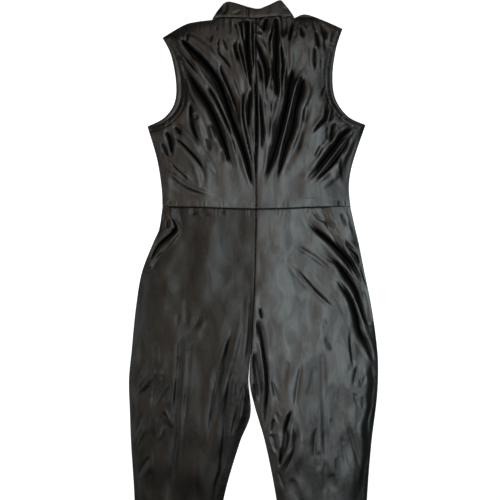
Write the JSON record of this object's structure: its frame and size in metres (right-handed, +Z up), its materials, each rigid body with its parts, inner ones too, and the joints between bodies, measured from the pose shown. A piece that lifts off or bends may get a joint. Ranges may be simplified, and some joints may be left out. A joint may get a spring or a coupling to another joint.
{
  "type": "jumpsuit",
  "caption": "Sleeveless satin jumpsuit laid flat, with a stand collar, gathered bodice, waist seam, slant hip pockets and tapered legs.",
  "frame": {"origin": "on the ground plane under the middle of the garment's bounding box", "axes": "+Y from the hems to the collar, +X to the wearer's left, +Z up from the back panels to the front panels"},
  "size_m": [0.4982, 1.4674, 0.0123],
  "materials": {
    "collar_satin": "black satin, soft sheen",
    "front_satin": "black satin, soft sheen, creased",
    "back_satin": "black satin, soft sheen",
    "facing_satin": "black satin, duller inner side"
  },
  "bodies": {
    "root": {"collar": "collar_satin", "front_bodice_right": "front_satin", "front_bodice_left": "front_satin", "front_leg_right": "front_satin", "front_leg_left": "front_satin", "back_bodice_right": "back_satin", "back_bodice_left": "back_satin", "back_leg_right": "back_satin", "back_leg_left": "back_satin", "armhole_facing_right": "facing_satin", "armhole_facing_left": "facing_satin", "pocket_facing_right": "facing_satin", "pocket_facing_left": "facing_satin"}
  },
  "joints": []
}
